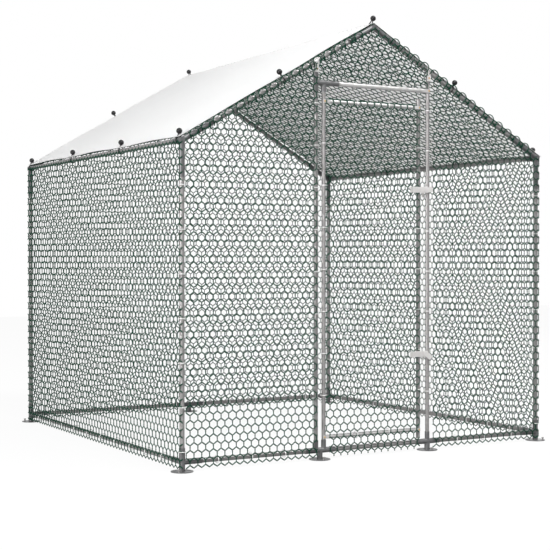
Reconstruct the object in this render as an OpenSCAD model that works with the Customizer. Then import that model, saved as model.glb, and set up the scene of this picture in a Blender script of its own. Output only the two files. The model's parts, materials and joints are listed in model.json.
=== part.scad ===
// Walk-in chicken run: a tube frame with a pitched roof, wire nets, a swinging door and a cloth roof cover.
// The front is at -Y, the ground at Z = 0 and the origin lies under the middle of the run.

/* [Run] */
// Distance between the left and right corner post axes
run_w = 2000; // [1800:10:2600]
// Distance between the front and back corner post axes
run_d = 2000; // [1600:10:3000]
// Height of the eave rail axes above the ground
eave_z = 1445; // [1350:5:1700]
// Slope of the roof in degrees
roof_pitch = 30; // [26:1:34]
// Height of the base rail axes above the ground
base_z = 43; // [36:1:60]

/* [Tubes] */
// Outer diameter of the frame tubes
tube_d = 22; // [20:0.5:26]
// Outer diameter of the door and doorway tubes
door_tube_d = 19; // [16:0.5:22]
// Wall of every tube
tube_wall = 0.8; // [0.6:0.1:2]

/* [Fittings] */
// Wall of the fittings' sleeves
sleeve_wall = 1.85; // [1.2:0.05:3]
// Radial clearance between a tube and its sleeve
sleeve_gap = 0.15; // [0.1:0.05:0.4]
// Extra radius of a fitting's hub over its arms
hub_step = 0.5; // [0.3:0.1:1.5]
// Solid stop left between a fitting's centre and a tube's end
stop_wall = 2; // [1:0.5:5]
// Reach of the corner feet's rail sleeves
base_sleeve = 95; // [60:1:140]
// Reach of the corner feet's post sleeves above the base rails
base_post_sleeve = 61; // [40:1:120]
// Reach of the eave corners' post sleeves
eave_post_sleeve = 160; // [80:1:220]
// Reach of the eave corners' rafter sleeves
eave_rafter_sleeve = 178; // [80:1:240]
// Reach of the eave corners' and apex fittings' rail sleeves
eave_rail_sleeve = 80; // [60:1:140]
// Reach of the apex fittings' rafter sleeves
apex_sleeve = 160; // [80:1:220]

/* [Feet] */
// Diameter of the foot discs
foot_d = 100; // [90:1:140]
// Thickness of the foot discs
foot_t = 3; // [2:0.5:6]
// Distance from a foot's centre to its peg
peg_reach = 38; // [30:0.5:40]
// Diameter of the pegs
peg_d = 8; // [5:0.5:10]
// Height of the pegs above the ground
peg_h = 16; // [12:0.5:30]

/* [Doorway] */
// Width of the door between its stile axes
door_w = 537; // [450:1:700]
// Distance from the hinge post's axis to the hinge stile's axis
hinge_gap = 42; // [38:1:60]
// Distance from the latch stile's axis to the latch post's axis
latch_gap = 55; // [46:1:80]
// Height of the rafter axis over the lintel axis at the door posts
lintel_drop = 98; // [80:1:200]
// Distance from the lintel axis down to the door's top rail axis
head_gap = 84; // [70:1:120]
// Distance from the base rail axis up to the door's bottom rail axis
sill_gap = 60; // [50:1:100]
// How far the latch stile runs past the door's rails
stile_overrun = 42; // [15:1:45]
// Reach of the door feet's sockets above the base rails
door_socket = 47; // [40:1:70]
// Reach of the upper hinge socket below the lintel axis
hinge_socket = 41; // [30:1:55]
// Radial clearance of the hinge stile in its sockets
turn_gap = 0.08; // [0.03:0.01:0.1]
// Half length of the latch post's foot sleeve
latch_foot_sleeve = 68; // [50:1:100]
// Half length of the hinge post's foot sleeve
hinge_foot_sleeve = 79; // [65:1:110]
// Reach of the lintel fitting's arm from the hinge post
lintel_arm = 120; // [90:1:180]
// Height of the lintel fitting's collar
collar_h = 90; // [50:1:120]

/* [Latches] */
// Drop of the upper latch below the door's top rail
upper_latch_drop = 396; // [200:1:600]
// Rise of the lower latch above the door's bottom rail
lower_latch_rise = 366; // [200:1:600]
// Length of the latch plates
latch_plate_w = 105; // [90:1:140]
// Height of the latch plates
latch_plate_h = 28; // [24:1:40]
// Thickness of the latch plates, tabs and tongues
latch_t = 2.5; // [1.5:0.1:4]
// Depth of the finger pull that the plate's end is bent into
pull_depth = 20; // [10:1:28]
// Distance from the latch post's axis back to the latch pin
pin_inset = 19; // [17:0.5:22]
// Diameter of the latch pins
pin_d = 6; // [4:0.5:8]
// Reach of the turn tabs from their pins
tab_reach = 38; // [28:1:60]
// Width of the turn tabs
tab_w = 24; // [18:1:30]
// Angle of the upper turn tab at rest
upper_tab_angle = 6; // [-60:1:60]
// Angle of the lower turn tab at rest
lower_tab_angle = -36; // [-60:1:60]
// Reach of the tongues behind the latch post
tongue_reach = 34; // [30:1:45]
// Width of the tongues
tongue_w = 12; // [8:0.5:13]

/* [Nets] */
// Width of a net cell between its upright sides
net_cell = 295; // [290:1:500]
// Width of a net strand
strand_w = 4; // [3:0.5:10]
// Thickness of the nets
net_t = 1.5; // [1:0.1:3]
// Height of the nets' lower edge above the ground
net_low = 12; // [8:1:30]
// How far the roof nets lap past the eave and rafter axes
roof_net_lap = 12; // [11:0.5:13]

/* [Cover] */
// Thickness of the cover cloth
cover_t = 1.5; // [0.8:0.1:3]
// How far the cover laps past the eave and rafter axes
cover_lap = 2; // [0:0.5:13]
// Diameter of the bungee balls
ball_d = 27; // [20:1:34]
// Distance from a tube's axis to the centre of its ball
ball_rise = 42; // [38:1:60]
// Diameter of the elastic loops
loop_d = 5; // [3:0.5:6]
// Distance from the ridge to the balls on the back rafters
back_rake_x = 470; // [400:1:600]
// Distance from the ridge to the ball on the left front rafter
left_rake_x = 490; // [400:1:600]
// Distance from the ridge to the ball on the right front rafter
right_rake_x = 460; // [400:1:600]
// How far the ridge balls lean out past their loops
ridge_lean = 24; // [0:1:30]
// Distance from a corner post's axis to the corner ball
corner_ball_inset = 25; // [22:1:45]

/* [Fasteners] */
// Thickness of the flattened tube ends
flat_t = 1.6; // [1:0.1:3]
// Height of the flattened tube ends
flat_h = 16; // [12:0.5:18]
// Length of the flattened tube ends, back from the upright's axis
flat_len = 30; // [20:1:50]
// How far the flattened ends run past the upright's axis
flat_over = 6; // [5:0.5:8]
// Diameter of the screws
screw_d = 4; // [3:0.5:5]
// Diameter of the screw heads
screw_head_d = 8; // [6:0.5:10]
// Height of the screw, rivet and pin heads
screw_head_h = 1.6; // [1:0.1:2]
// How far the screws and rivets reach into their tubes
screw_bite = 3; // [2:0.5:5]
// Diameter of the latch rivets
rivet_d = 5; // [4:0.5:6]
// Diameter of the rivet heads and spacers
rivet_head_d = 9; // [8:0.5:10]
// Distance from a latch's middle to its rivets
rivet_spread = 7; // [6:0.5:9]
// Width of the clamps on the rafters
clamp_w = 24; // [14:1:40]
// Longest that the clamps' straps may be on the door posts
clamp_tab_h = 34; // [24:1:60]
// Width of the clamps' straps
clamp_tab_w = 20; // [14:1:24]
// Diameter of the peg heads
peg_head_d = 13; // [11:0.5:16]
// Height of the peg heads
peg_head_h = 3; // [2:0.5:6]

/* [Clearances] */
// Gap between pieces that lie on each other
lie_gap = 0.3; // [0.2:0.05:0.6]
// Gap between a flattened end and the tube that it lies on
flat_gap = 0.1; // [0.05:0.05:0.3]
// Radial clearance of screws, rivets and pins in their holes
hole_gap = 0.05; // [0.02:0.01:0.1]
// Radial clearance of the pegs in the foot discs
peg_clearance = 0.5; // [0.2:0.1:0.9]
// Clearance of the nets and the cover round the elastic loops
room_gap = 0.6; // [0.3:0.1:0.9]

/* [Hidden] */
$fn = 48;
// Where a fitting's arms start, inside its middle
arm_start = 4;
// Length of the cuts for holes
cut_len = 100;

half_w = run_w / 2;
half_d = run_d / 2;
slope_len = half_w / cos(roof_pitch);
ridge_z = eave_z + half_w * tan(roof_pitch);
tube_r = tube_d / 2;
door_r = door_tube_d / 2;
sleeve_r = tube_r + sleeve_gap + sleeve_wall;
hub_r = sleeve_r + hub_step;
tube_stop = hub_r + stop_wall;
door_sleeve_r = door_r + sleeve_gap + sleeve_wall;
door_hub_r = door_sleeve_r + hub_step;

// Doorway, centred on the front
doorway_w = hinge_gap + door_w + latch_gap;
hinge_post_x = -doorway_w / 2;
latch_post_x = doorway_w / 2;
hinge_x = hinge_post_x + hinge_gap;
latch_x = latch_post_x - latch_gap;
hinge_foot_x = (hinge_post_x + hinge_x) / 2;
lintel_z = rafter_z(latch_post_x) - lintel_drop;
door_top_z = lintel_z - head_gap;
door_low_z = base_z + sill_gap;
socket_floor_z = base_z + hub_r + stop_wall;
lintel_floor_z = lintel_z - sleeve_r - stop_wall;

// Flattened tube ends, and the door posts' tops under the rafter clamps
flat_off = door_r + flat_gap;
clamp_under_z = rafter_z(latch_post_x) - sleeve_r / cos(roof_pitch);
post_top_z = clamp_under_z - door_r * tan(roof_pitch) - 2 * lie_gap;
strap_low_z = max(post_top_z - clamp_tab_h, lintel_z + collar_h / 2 + stop_wall);
clamp_screw_z = (post_top_z + strap_low_z) / 2;

// Layers in front of the frame and the door, measured from the tube axes
net_off = hub_r + lie_gap;
cover_off = net_off + net_t + lie_gap;
door_net_off = flat_off + flat_t + lie_gap;
latch_off = door_net_off + net_t + lie_gap;
tab_off = max(latch_off + latch_t, net_off + net_t) + lie_gap;
tongue_off = door_r + 3 * lie_gap;

// Latches
pin_x = latch_post_x - pin_inset;
plate_right_x = pin_x + pin_d + 7;
upper_latch_z = door_top_z - upper_latch_drop;
lower_latch_z = door_low_z + lower_latch_rise;

// Nets
net_border = 1.5 * strand_w;
net_edge = net_off - 2 * lie_gap;
net_row = net_cell * sqrt(3) / 2;
net_post_gap = door_hub_r + stop_wall;
least_gap = 900;

// Bungees
ball_r = ball_d / 2;
ball_flat = ball_r - 1.5;
loop_r = loop_d / 2;
neck_r = 0.9 * loop_d;
corner_ball_y = half_d - corner_ball_inset;
eave_ball_ys = [-corner_ball_y, -corner_ball_y / 3, corner_ball_y / 3, corner_ball_y];
eave_held_rs = [hub_r, tube_r, tube_r, hub_r];

zinc = "#c9ccce";
cast_grey = "#7d8184";
pale_zinc = "#d8d5d2";
coated_green = "#2f4a40";
cloth = "#f2f2f0";
black = "#161616";
yellow_zinc = "#a9814a";

// Height of the rafter axes over the place x
function rafter_z(x) = eave_z + (half_w - abs(x)) * tan(roof_pitch);

// A net is an outline with six-sided gaps, each cut to the outline's inside by its straight edges
function side_of(p, a, b) = cross(b - a, p - a);
function cut_by(shape, a, b) = [
    for (i = [0 : len(shape) - 1])
        let (p = shape[i], q = shape[(i + 1) % len(shape)], sp = side_of(p, a, b), sq = side_of(q, a, b))
            each concat(sp >= 0 ? [p] : [], sp * sq < 0 ? [p + (q - p) * sp / (sp - sq)] : [])
];
function cut_to(shape, outline, i = 0) =
    i == len(outline) || len(shape) < 3 ? shape
    : cut_to(cut_by(shape, outline[i], outline[(i + 1) % len(outline)]), outline, i + 1);
function shifted(a, b, d) = let (n = [a[1] - b[1], b[0] - a[0]] / norm(b - a)) [a + n * d, b + n * d];
function crossing(l, m) =
    let (r = l[1] - l[0], s = m[1] - m[0])
        l[0] + r * cross(m[0] - l[0], s) / cross(r, s);
function inset(outline, d) = let (n = len(outline)) [
    for (i = [0 : n - 1])
        crossing(
            shifted(outline[(i + n - 1) % n], outline[i], d),
            shifted(outline[i], outline[(i + 1) % n], d)
        )
];
function total(v) = v * [for (x = v) 1];
function area(shape) =
    abs(total([for (i = [0 : len(shape) - 1]) cross(shape[i], shape[(i + 1) % len(shape)])])) / 2;
function without_doubles(shape) = [
    for (i = [0 : len(shape) - 1])
        if (norm(shape[i] - shape[(i + 1) % len(shape)]) > 0.05) shape[i]
];
function hexagon(c, w) = [for (k = [0 : 5]) c + w / sqrt(3) * [cos(30 + 60 * k), sin(30 + 60 * k)]];
function net_gaps(outline, middle) =
    let (
        inner = inset(outline, net_border),
        us = [for (p = outline) p[0] - middle[0]],
        vs = [for (p = outline) p[1] - middle[1]]
    ) [
        for (j = [floor(min(vs) / net_row) : ceil(max(vs) / net_row)])
            for (i = [floor(min(us) / net_cell) - 1 : ceil(max(us) / net_cell)])
                let (
                    c = middle + [(i + (j % 2 == 0 ? 0 : 0.5)) * net_cell, j * net_row],
                    gap = without_doubles(cut_to(hexagon(c, net_cell - strand_w), inner))
                )
                if (len(gap) > 2 && area(gap) > least_gap) gap
    ];
function running(v, i = 0, s = 0) = i == len(v) ? [] : concat([s], running(v, i + 1, s + v[i]));

module net(outline, middle) {
    shapes = concat([outline], net_gaps(outline, middle));
    starts = running([for (s = shapes) len(s)]);
    linear_extrude(net_t)
        polygon(
            points = [for (s = shapes) each s],
            paths = [for (k = [0 : len(shapes) - 1]) [for (i = [0 : len(shapes[k]) - 1]) starts[k] + i]]
        );
}

// Tubes
module tube(length, d) {
    difference() {
        cylinder(d = d, h = length);
        translate([0, 0, -1]) cylinder(d = d - 2 * tube_wall, h = length + 2);
    }
}

module tube_x(x0, x1, y, z, d) {
    translate([x0, y, z]) rotate([0, 90, 0]) tube(x1 - x0, d);
}

module tube_y(y0, y1, x, z, d) {
    translate([x, y0, z]) rotate([-90, 0, 0]) tube(y1 - y0, d);
}

module tube_z(z0, z1, x, y, d) {
    translate([x, y, z0]) tube(z1 - z0, d);
}

module corner_post(sx, sy) {
    color(zinc) tube_z(base_z + tube_stop, eave_z - tube_stop, sx * half_w, sy * half_d, tube_d);
}

module base_rail_side(sx) {
    color(zinc) tube_y(tube_stop - half_d, half_d - tube_stop, sx * half_w, base_z, tube_d);
}

module eave_rail(sx) {
    color(zinc) tube_y(tube_stop - half_d, half_d - tube_stop, sx * half_w, eave_z, tube_d);
}

// Puts children on a rafter, with X up the slope and Z square to the roof
module on_slope(sx, sy, along) {
    mirror([sx > 0 ? 1 : 0, 0, 0])
        translate([-half_w, sy * half_d, eave_z])
            rotate([0, -roof_pitch, 0])
                translate([along, 0, 0])
                    children();
}

module rafter(sx, sy) {
    color(zinc) on_slope(sx, sy, 0) tube_x(tube_stop, slope_len - tube_stop, 0, 0, tube_d);
}

// Fittings: arms of sleeve_r with bores for the tubes, on a hub of hub_r
module arm(reach) {
    translate([0, 0, arm_start]) cylinder(r = sleeve_r, h = reach - arm_start);
}

module arm_bore(reach) {
    translate([0, 0, tube_stop]) cylinder(r = tube_r + sleeve_gap, h = reach);
}

module to_x() { rotate([0, 90, 0]) children(); }
module to_left() { rotate([0, -90, 0]) children(); }
module to_y() { rotate([-90, 0, 0]) children(); }
module to_ground() { rotate([180, 0, 0]) children(); }

// The eave corners' and apex fittings' hub, which is the sleeve of the rail behind it
module hub_y(reach) {
    translate([0, -hub_r, 0]) to_y() cylinder(r = hub_r, h = hub_r + reach);
}

module foot_plate(peg_turn) {
    difference() {
        cylinder(d = foot_d, h = foot_t);
        rotate([0, 0, peg_turn])
            translate([peg_reach, 0, -1])
                cylinder(d = peg_d + 2 * peg_clearance, h = foot_t + 2);
    }
}

module at_corner(sx, sy) {
    mirror([sx > 0 ? 1 : 0, 0, 0])
        mirror([0, sy > 0 ? 1 : 0, 0])
            translate([-half_w, -half_d, 0])
                children();
}

module corner_foot(sx, sy) {
    color(cast_grey) at_corner(sx, sy)
        difference() {
            union() {
                foot_plate(225);
                cylinder(r = hub_r, h = base_z + base_post_sleeve);
                translate([0, 0, base_z]) {
                    to_x() arm(base_sleeve);
                    to_y() arm(base_sleeve);
                }
            }
            translate([0, 0, base_z]) {
                to_x() arm_bore(base_sleeve);
                to_y() arm_bore(base_sleeve);
                arm_bore(base_post_sleeve);
            }
        }
}

module eave_corner(sx, sy) {
    color(cast_grey) at_corner(sx, sy)
        translate([0, 0, eave_z])
            difference() {
                union() {
                    hub_y(eave_rail_sleeve);
                    to_ground() arm(eave_post_sleeve);
                    rotate([0, 90 - roof_pitch, 0]) arm(eave_rafter_sleeve);
                }
                to_ground() arm_bore(eave_post_sleeve);
                to_y() arm_bore(eave_rail_sleeve);
                rotate([0, 90 - roof_pitch, 0]) arm_bore(eave_rafter_sleeve);
            }
}

module apex(sy) {
    color(cast_grey) mirror([0, sy > 0 ? 1 : 0, 0])
        translate([0, -half_d, ridge_z])
            difference() {
                union() {
                    hub_y(eave_rail_sleeve);
                    for (turn = [-1, 1]) rotate([0, turn * (90 + roof_pitch), 0]) arm(apex_sleeve);
                }
                to_y() arm_bore(eave_rail_sleeve);
                for (turn = [-1, 1]) rotate([0, turn * (90 + roof_pitch), 0]) arm_bore(apex_sleeve);
            }
}

// A foot in the run of a base rail has a sleeve to each side; children stand on it and are bored with it
module rail_foot(reach, peg_turn) {
    difference() {
        union() {
            foot_plate(peg_turn);
            cylinder(r = hub_r, h = base_z);
            translate([-reach, 0, base_z]) to_x() cylinder(r = sleeve_r, h = 2 * reach);
            children();
        }
        translate([0, 0, base_z]) {
            to_x() arm_bore(reach);
            to_left() arm_bore(reach);
        }
    }
}

module door_socket_at(x) {
    translate([x, 0, base_z]) cylinder(r = door_sleeve_r, h = door_socket);
}

module door_socket_bore(x, gap) {
    translate([x, 0, socket_floor_z]) cylinder(r = door_r + gap, h = door_socket);
}

module foot_back_middle() {
    color(cast_grey) translate([0, half_d, 0]) rail_foot(base_sleeve, 90);
}

module foot_door_latch() {
    color(cast_grey) translate([latch_post_x, -half_d, 0])
        difference() {
            rail_foot(latch_foot_sleeve, -90) door_socket_at(0);
            door_socket_bore(0, sleeve_gap);
        }
}

module foot_door_hinge() {
    color(cast_grey) translate([hinge_foot_x, -half_d, 0])
        difference() {
            rail_foot(hinge_foot_sleeve, -90) {
                door_socket_at(-hinge_gap / 2);
                door_socket_at(hinge_gap / 2);
            }
            door_socket_bore(-hinge_gap / 2, sleeve_gap);
            door_socket_bore(hinge_gap / 2, turn_gap);
        }
}

// Doorway
module front_hole(x, z, d) {
    translate([x, 0, z]) rotate([90, 0, 0]) cylinder(d = d + 2 * hole_gap, h = cut_len);
}

module door_post(x) {
    color(zinc) translate([0, -half_d, 0])
        difference() {
            tube_z(socket_floor_z, post_top_z, x, 0, door_tube_d);
            front_hole(x, clamp_screw_z, screw_d);
            if (x == latch_post_x) front_hole(x, lintel_z, screw_d);
        }
}

module rafter_clamp(sx) {
    x = sx * latch_post_x;
    difference() {
        union() {
            on_slope(sx, -1, (half_w - latch_post_x) / cos(roof_pitch) - clamp_w / 2)
                to_x() cylinder(r = sleeve_r, h = clamp_w);
            translate([x - clamp_tab_w / 2, -half_d - flat_off - latch_t, strap_low_z])
                cube([clamp_tab_w, latch_t, rafter_z(x) - strap_low_z]);
        }
        on_slope(sx, -1, 0) to_x() cylinder(r = tube_r + sleeve_gap, h = slope_len);
        translate([0, -half_d, 0]) front_hole(x, clamp_screw_z, screw_d);
    }
}

module rafter_clamps() {
    color(pale_zinc) {
        rafter_clamp(-1);
        rafter_clamp(1);
    }
}

module lintel_fitting() {
    color(cast_grey) translate([hinge_post_x, -half_d, lintel_z])
        difference() {
            union() {
                translate([0, 0, -collar_h / 2]) cylinder(r = door_hub_r, h = collar_h);
                to_x() cylinder(r = sleeve_r, h = lintel_arm);
                translate([hinge_gap, 0, 0]) to_ground() cylinder(r = door_hub_r, h = hinge_socket);
            }
            translate([0, 0, -collar_h]) cylinder(r = door_r + sleeve_gap, h = 2 * collar_h);
            translate([hinge_gap + door_hub_r + stop_wall, 0, 0])
                to_x() cylinder(r = tube_r + sleeve_gap, h = lintel_arm);
            translate([hinge_gap, 0, lintel_floor_z - lintel_z])
                to_ground() cylinder(r = door_r + turn_gap, h = hinge_socket);
        }
}

// A flattened tube end that lies on the front of an upright at x; dir points back along its tube
module flat_end(x, z, dir) {
    translate([dir > 0 ? x - flat_over : x - flat_len, -flat_off - flat_t, z - flat_h / 2])
        cube([flat_len + flat_over, flat_off + flat_t - door_r + tube_wall, flat_h]);
}

module upright_room(x, z) {
    translate([x, 0, z - cut_len / 2]) cylinder(r = flat_off, h = cut_len);
}

module lintel() {
    color(zinc) translate([0, -half_d, 0])
        difference() {
            union() {
                tube_x(
                    hinge_x + door_hub_r + stop_wall + lie_gap, latch_post_x - flat_off - lie_gap,
                    0, lintel_z, tube_d
                );
                flat_end(latch_post_x, lintel_z, -1);
            }
            upright_room(latch_post_x, lintel_z);
            front_hole(latch_post_x, lintel_z, screw_d);
        }
}

module screw(x, z, off) {
    translate([x, -half_d, z])
        rotate([90, 0, 0]) {
            translate([0, 0, door_r - screw_bite]) cylinder(d = screw_d, h = off - door_r + screw_bite);
            translate([0, 0, off]) cylinder(d = screw_head_d, h = screw_head_h);
        }
}

module frame_screws() {
    color(yellow_zinc) {
        screw(latch_post_x, lintel_z, flat_off + flat_t);
        for (x = [hinge_post_x, latch_post_x]) screw(x, clamp_screw_z, flat_off + latch_t);
    }
}

module ground_peg(x, y, turn) {
    translate([x, y, lie_gap])
        rotate([0, 0, turn])
            translate([peg_reach, 0, 0]) {
                cylinder(d = peg_d, h = peg_h - lie_gap - peg_head_h);
                translate([0, 0, peg_h - lie_gap - peg_head_h]) cylinder(d = peg_head_d, h = peg_head_h);
            }
}

module ground_pegs() {
    color(zinc) {
        for (sx = [-1, 1])
            for (sy = [-1, 1])
                ground_peg(sx * half_w, sy * half_d, atan2(sy, sx));
        ground_peg(0, half_d, 90);
        ground_peg(hinge_foot_x, -half_d, -90);
        ground_peg(latch_post_x, -half_d, -90);
    }
}

// Nets, on the outside of the tubes
module wall_net(off, outline, middle) {
    translate([0, -off, 0]) rotate([90, 0, 0]) net(outline, middle);
}

module side_net(sx) {
    edge = half_d + net_edge;
    color(coated_green)
        difference() {
            mirror([sx > 0 ? 1 : 0, 0, 0])
                rotate([0, 0, -90])
                    wall_net(
                        half_w + net_off,
                        [[-edge, net_low], [edge, net_low], [edge, eave_z], [-edge, eave_z]],
                        [0, (net_low + eave_z) / 2]
                    );
            eave_loop_rooms(sx);
        }
}

module net_back() {
    edge = half_w + net_edge;
    color(coated_green)
        difference() {
            mirror([0, 1, 0])
                wall_net(
                    half_d + net_off,
                    [[-edge, net_low], [edge, net_low], [edge, rafter_z(edge)], [0, ridge_z],
                        [-edge, rafter_z(edge)]],
                    [0, (net_low + eave_z) / 2]
                );
            rake_loop_rooms(1);
        }
}

module front_net(sx) {
    edge = half_w + net_edge;
    post = latch_post_x + net_post_gap;
    color(coated_green)
        difference() {
            mirror([sx < 0 ? 1 : 0, 0, 0])
                wall_net(
                    half_d + net_off,
                    [[post, net_low], [edge, net_low], [edge, rafter_z(edge)], [post, rafter_z(post)]],
                    [(post + edge) / 2, (net_low + eave_z) / 2]
                );
            rake_loop_rooms(-1);
        }
}

module net_gable() {
    post = latch_post_x - net_post_gap;
    color(coated_green)
        wall_net(
            half_d + net_off,
            [[-post, lintel_z], [post, lintel_z], [post, rafter_z(post)], [0, ridge_z],
                [-post, rafter_z(post)]],
            [0, lintel_z + net_row / 2]
        );
}

module roof_net(sx) {
    edge = half_d + roof_net_lap;
    low = -roof_net_lap;
    top = slope_len + net_off * tan(roof_pitch) - lie_gap;
    color(coated_green)
        difference() {
            on_slope(sx, 0, 0)
                translate([0, 0, net_off])
                    net([[low, -edge], [top, -edge], [top, edge], [low, edge]], [slope_len / 2, 0]);
            all_loop_rooms();
        }
}

// Cover: one sheet over both slopes, with an eyelet for every bungee
function cover_point(off, along) = [
    -half_w + along * cos(roof_pitch) - off * sin(roof_pitch),
    eave_z + along * sin(roof_pitch) + off * cos(roof_pitch)
];
function cover_crest(off) = [0, ridge_z + off / cos(roof_pitch)];
function other_side(p) = [-p[0], p[1]];

module roof_cover() {
    low = cover_point(cover_off, -cover_lap);
    high = cover_point(cover_off + cover_t, -cover_lap);
    color(cloth)
        difference() {
            translate([0, half_d + cover_lap, 0])
                rotate([90, 0, 0])
                    linear_extrude(run_d + 2 * cover_lap)
                        polygon([
                            low, cover_crest(cover_off), other_side(low),
                            other_side(high), cover_crest(cover_off + cover_t), high
                        ]);
            all_loop_rooms();
        }
}

// Bungees: children stand on a tube, with X along the tube and Z up to the ball
module at_eave_ball(sx, y) {
    translate([sx * half_w, y, eave_z]) rotate([0, 0, 90]) children();
}

module at_rake_ball(sx, sy) {
    x = sy > 0 ? back_rake_x : sx < 0 ? left_rake_x : right_rake_x;
    on_slope(sx, sy, (half_w - x) / cos(roof_pitch)) children();
}

module at_ridge_ball(sy) {
    translate([0, sy * corner_ball_y, ridge_z]) rotate([0, 0, 90]) children();
}

function loop_ring(held_r) = held_r + lie_gap + loop_r;
function neck_low(held_r) = loop_ring(held_r) + loop_r / 2;
function neck_len(held_r, lean) = norm([lean, ball_rise - neck_low(held_r)]);

module on_neck(held_r, lean) {
    low = neck_low(held_r);
    translate([0, 0, low]) rotate([0, atan2(lean, ball_rise - low), 0]) children();
}

module bungee_ball(held_r, lean = 0) {
    on_neck(held_r, lean)
        translate([0, 0, neck_len(held_r, lean)])
            difference() {
                sphere(r = ball_r);
                translate([0, 0, -ball_flat - ball_r]) cylinder(r = ball_r, h = ball_r);
            }
}

module bungee_loop(held_r, lean = 0) {
    to_x() rotate_extrude() translate([loop_ring(held_r), 0]) circle(r = loop_r);
    on_neck(held_r, lean) cylinder(r = neck_r, h = neck_len(held_r, lean) - ball_flat);
}

module loop_room(held_r, lean = 0) {
    room_r = loop_ring(held_r) + loop_r + room_gap + cover_t;
    to_x() cylinder(r = room_r, h = loop_d + 2 * room_gap, center = true);
    on_neck(held_r, lean)
        translate([0, 0, -loop_d])
            cylinder(r = neck_r + room_gap, h = neck_len(held_r, lean) + loop_d);
}

module eave_loop_rooms(sx) {
    for (i = [0 : 3]) at_eave_ball(sx, eave_ball_ys[i]) loop_room(eave_held_rs[i]);
}

module rake_loop_rooms(sy) {
    for (sx = [-1, 1]) at_rake_ball(sx, sy) loop_room(tube_r);
}

module all_loop_rooms() {
    for (s = [-1, 1]) {
        eave_loop_rooms(s);
        rake_loop_rooms(s);
        at_ridge_ball(s) loop_room(hub_r, s * ridge_lean);
    }
}

module bungee_balls() {
    color(black)
        for (s = [-1, 1]) {
            for (i = [0 : 3]) at_eave_ball(s, eave_ball_ys[i]) bungee_ball(eave_held_rs[i]);
            for (sx = [-1, 1]) at_rake_ball(sx, s) bungee_ball(tube_r);
            at_ridge_ball(s) bungee_ball(hub_r, s * ridge_lean);
        }
}

module bungee_loops() {
    color(black)
        for (s = [-1, 1]) {
            for (i = [0 : 3]) at_eave_ball(s, eave_ball_ys[i]) bungee_loop(eave_held_rs[i]);
            for (sx = [-1, 1]) at_rake_ball(sx, s) bungee_loop(tube_r);
            at_ridge_ball(s) bungee_loop(hub_r, s * ridge_lean);
        }
}

// Door
module door_stile_hinge() {
    color(zinc) translate([0, -half_d, 0])
        difference() {
            tube_z(socket_floor_z + lie_gap, lintel_floor_z - lie_gap, hinge_x, 0, door_tube_d);
            for (z = [door_low_z, door_top_z]) front_hole(hinge_x, z, screw_d);
        }
}

module door_stile_latch() {
    color(zinc) translate([0, -half_d, 0])
        difference() {
            tube_z(door_low_z - stile_overrun, door_top_z + stile_overrun, latch_x, 0, door_tube_d);
            for (z = [door_low_z, door_top_z]) front_hole(latch_x, z, screw_d);
            for (z = rivet_heights()) front_hole(latch_x, z, rivet_d);
        }
}

module door_rail(z) {
    color(zinc) translate([0, -half_d, 0])
        difference() {
            union() {
                tube_x(hinge_x, latch_x, 0, z, door_tube_d);
                flat_end(hinge_x, z, 1);
                flat_end(latch_x, z, -1);
            }
            for (x = [hinge_x, latch_x]) {
                upright_room(x, z);
                front_hole(x, z, screw_d);
            }
        }
}

module door_net() {
    left = hinge_x + door_r + lie_gap;
    right = latch_x - door_r - lie_gap;
    color(coated_green)
        wall_net(
            half_d + door_net_off,
            [[left, door_low_z - strand_w], [right, door_low_z - strand_w],
                [right, door_top_z + strand_w], [left, door_top_z + strand_w]],
            [(left + right) / 2, (door_low_z + door_top_z) / 2]
        );
}

module door_screws() {
    color(yellow_zinc)
        for (x = [hinge_x, latch_x])
            for (z = [door_low_z, door_top_z])
                screw(x, z, flat_off + flat_t);
}

// Latches
function rivet_heights() = [for (z = [lower_latch_z, upper_latch_z]) for (d = [-1, 1]) z + d * rivet_spread];

module latch_plate(z) {
    left = plate_right_x - latch_plate_w;
    translate([0, -half_d, 0])
        difference() {
            union() {
                translate([left, -latch_off - latch_t, z - latch_plate_h / 2])
                    cube([latch_plate_w, latch_t, latch_plate_h]);
                translate([left, -latch_off - latch_t - pull_depth, z - latch_plate_h / 2])
                    cube([latch_t, latch_t + pull_depth, latch_plate_h]);
            }
            front_hole(pin_x, z, pin_d);
            for (d = [-1, 1]) front_hole(latch_x, z + d * rivet_spread, rivet_d);
        }
}

module latch_plates() {
    color(pale_zinc) {
        latch_plate(lower_latch_z);
        latch_plate(upper_latch_z);
    }
}

module latch_rivets() {
    color(pale_zinc)
        for (z = rivet_heights())
            translate([latch_x, -half_d, z])
                rotate([90, 0, 0]) {
                    translate([0, 0, door_r - screw_bite])
                        cylinder(d = rivet_d, h = latch_off + latch_t - door_r + screw_bite);
                    translate([0, 0, latch_off + latch_t]) cylinder(d = rivet_head_d, h = screw_head_h);
                    translate([0, 0, flat_off]) cylinder(d = rivet_head_d, h = latch_off - flat_off);
                }
}

// A turning piece on a latch pin: Z is the pin's axis, towards the front
module at_pin(z, off) {
    translate([pin_x, -half_d - off, z]) rotate([90, 0, 0]) children();
}

module latch_tab(z, turn) {
    corner = 5;
    color(pale_zinc) at_pin(z, tab_off)
        rotate([0, 0, turn])
            difference() {
                linear_extrude(latch_t)
                    union() {
                        circle(d = tab_w);
                        translate([0, -tab_w / 2]) square([tab_reach - corner, tab_w]);
                        translate([0, corner - tab_w / 2]) square([tab_reach, tab_w - 2 * corner]);
                        for (v = [-1, 1])
                            translate([tab_reach - corner, v * (tab_w / 2 - corner)]) circle(r = corner);
                    }
                translate([0, 0, -1]) cylinder(d = pin_d + 2 * hole_gap, h = latch_t + 2);
            }
}

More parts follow.
